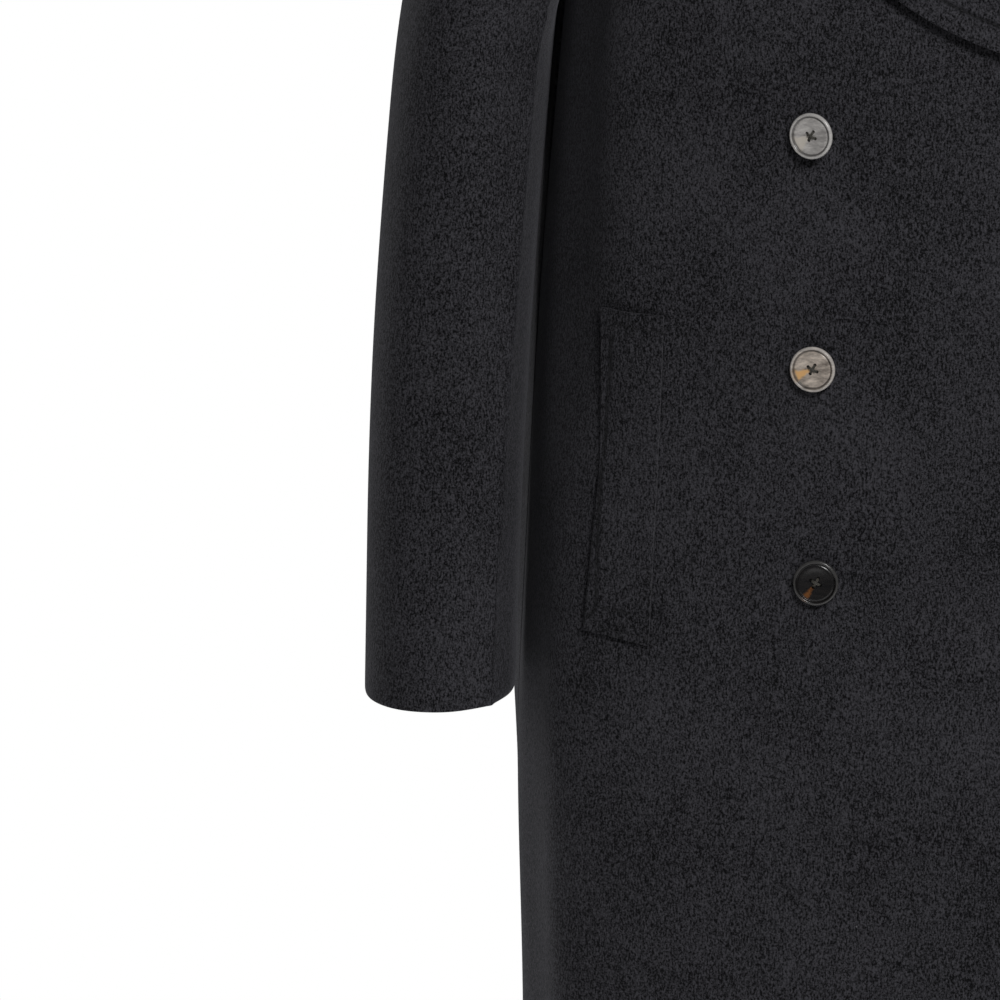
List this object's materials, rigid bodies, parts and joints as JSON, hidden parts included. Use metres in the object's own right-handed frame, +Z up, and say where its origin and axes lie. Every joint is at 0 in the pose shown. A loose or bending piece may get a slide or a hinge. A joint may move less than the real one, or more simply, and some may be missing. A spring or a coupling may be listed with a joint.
{
  "type": "double-breasted coat",
  "caption": "Long double-breasted wool coat with wide peaked lapels, a turned collar, slanted side pockets and two columns of round horn buttons, hollow and filled out as if worn.",
  "frame": {"origin": "between the wearer's shoulders, level with the neck ends of the shoulder seams, where the shoulders carry the coat", "axes": "+Z up; the front faces -Y; the wearer's right is towards -X"},
  "size_m": [0.698, 0.2817, 1.179],
  "materials": {
    "wool_cloth": "matt napped wool",
    "button_horn": "polished dark horn"
  },
  "bodies": {
    "root": {"front_right": "wool_cloth", "front_left": "wool_cloth", "back_right": "wool_cloth", "back_left": "wool_cloth", "sleeve_top_right": "wool_cloth", "sleeve_top_left": "wool_cloth", "sleeve_under_right": "wool_cloth", "sleeve_under_left": "wool_cloth", "lapel_right": "wool_cloth", "lapel_left": "wool_cloth", "collar": "wool_cloth", "pocket_welt_right": "wool_cloth", "pocket_welt_left": "wool_cloth", "button_right_1": "button_horn", "button_right_2": "button_horn", "button_right_3": "button_horn", "button_left_1": "button_horn", "button_left_2": "button_horn", "button_left_3": "button_horn"}
  },
  "joints": []
}
